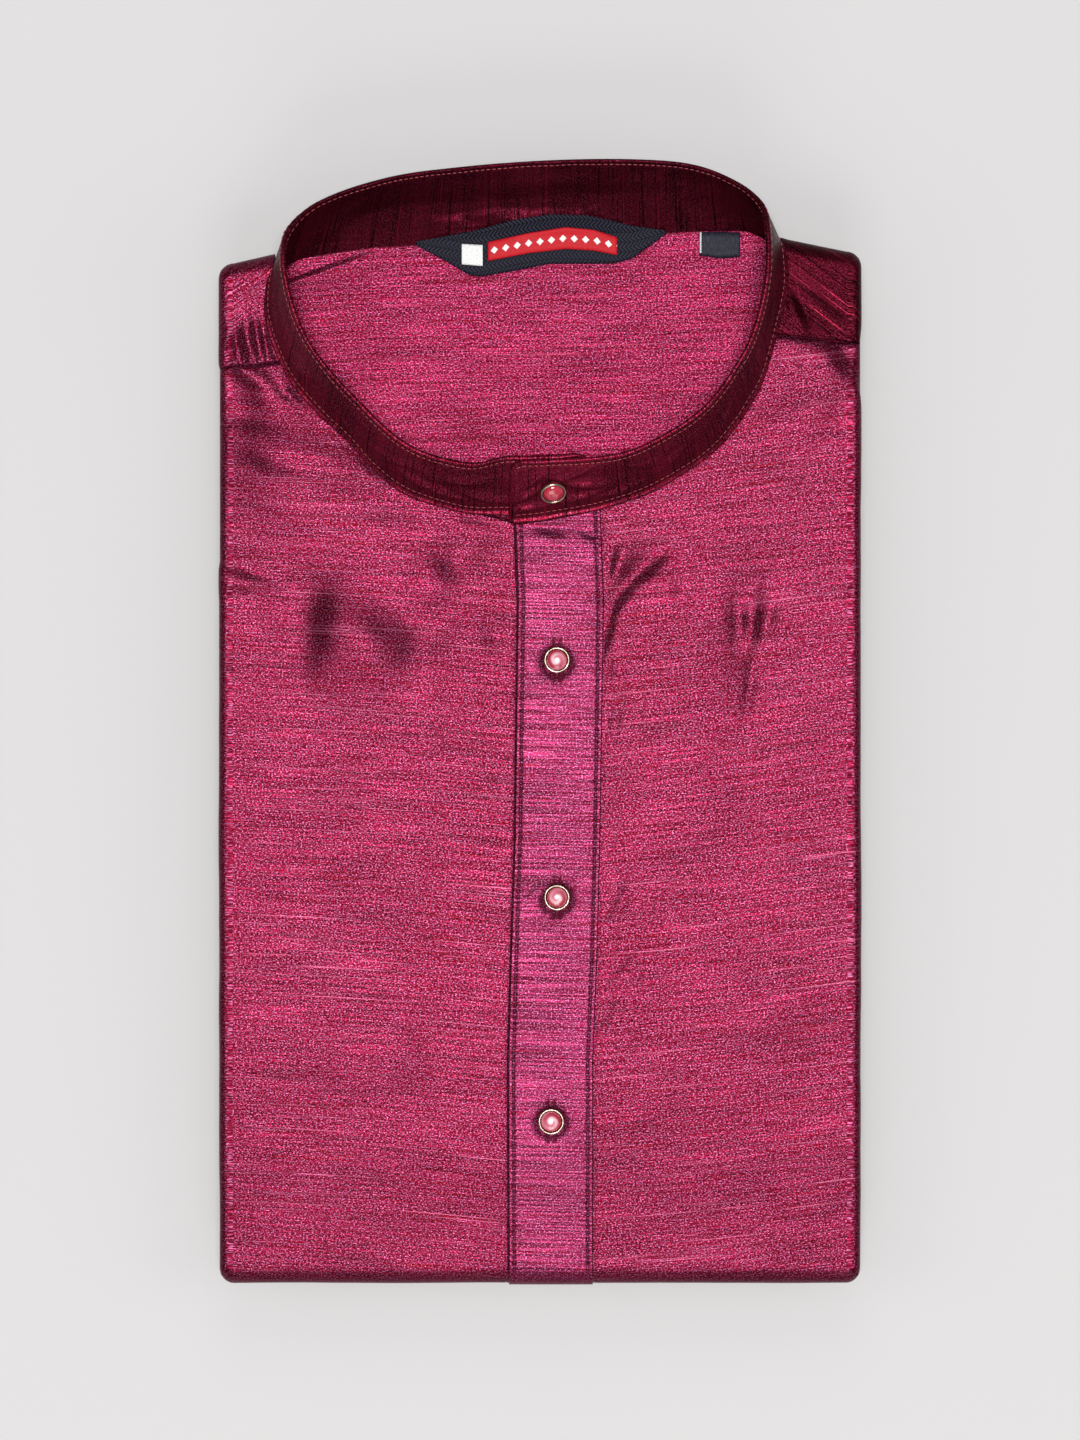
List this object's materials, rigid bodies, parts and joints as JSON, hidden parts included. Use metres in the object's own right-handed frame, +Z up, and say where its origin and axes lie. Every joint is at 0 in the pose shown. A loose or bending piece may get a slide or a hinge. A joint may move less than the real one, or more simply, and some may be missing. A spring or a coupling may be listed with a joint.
{
  "type": "folded kurta tunic",
  "caption": "Silk kurta tunic folded flat for a shelf, front up, with a stand-up band collar, a button placket and stacked folded layers behind.",
  "frame": {"origin": "centre of the overall box at the surface that the folded garment lies on", "axes": "+X to the right seen from above, +Y from the folded hem end to the collar, +Z up"},
  "size_m": [0.2259, 0.3949, 0.0484],
  "materials": {
    "silk": "magenta and crimson dupion silk with crosswise slubs and a soft lustre",
    "silk_inside": "inside face of the same dupion silk",
    "silk_collar": "the same silk on a stiffened band, slubs across the band, two rows of topstitching",
    "navy_tape": "dark navy herringbone tape",
    "red_weave": "red woven patch with plain white weave marks",
    "white_weave": "plain white woven square",
    "navy_satin": "dark navy satin tab with a white selvedge",
    "rim_metal": "polished pale metal rim",
    "swirl_resin": "glossy resin dome, red and pink swirls"
  },
  "bodies": {
    "root": {"folded_layers": "silk", "front_left": "silk", "front_right": "silk", "placket_under": "silk", "placket_upper": "silk", "yoke_left": "silk", "yoke_right": "silk", "yoke_back": "silk", "back_inner": "silk_inside", "collar_band": "silk_collar", "label_tape": "navy_tape", "label_patch": "red_weave", "label_square": "white_weave", "size_tab": "navy_satin", "button_1_rim": "rim_metal", "button_1_dome": "swirl_resin", "button_2_rim": "rim_metal", "button_2_dome": "swirl_resin", "button_3_rim": "rim_metal", "button_3_dome": "swirl_resin", "button_4_rim": "rim_metal", "button_4_dome": "swirl_resin"}
  },
  "joints": []
}
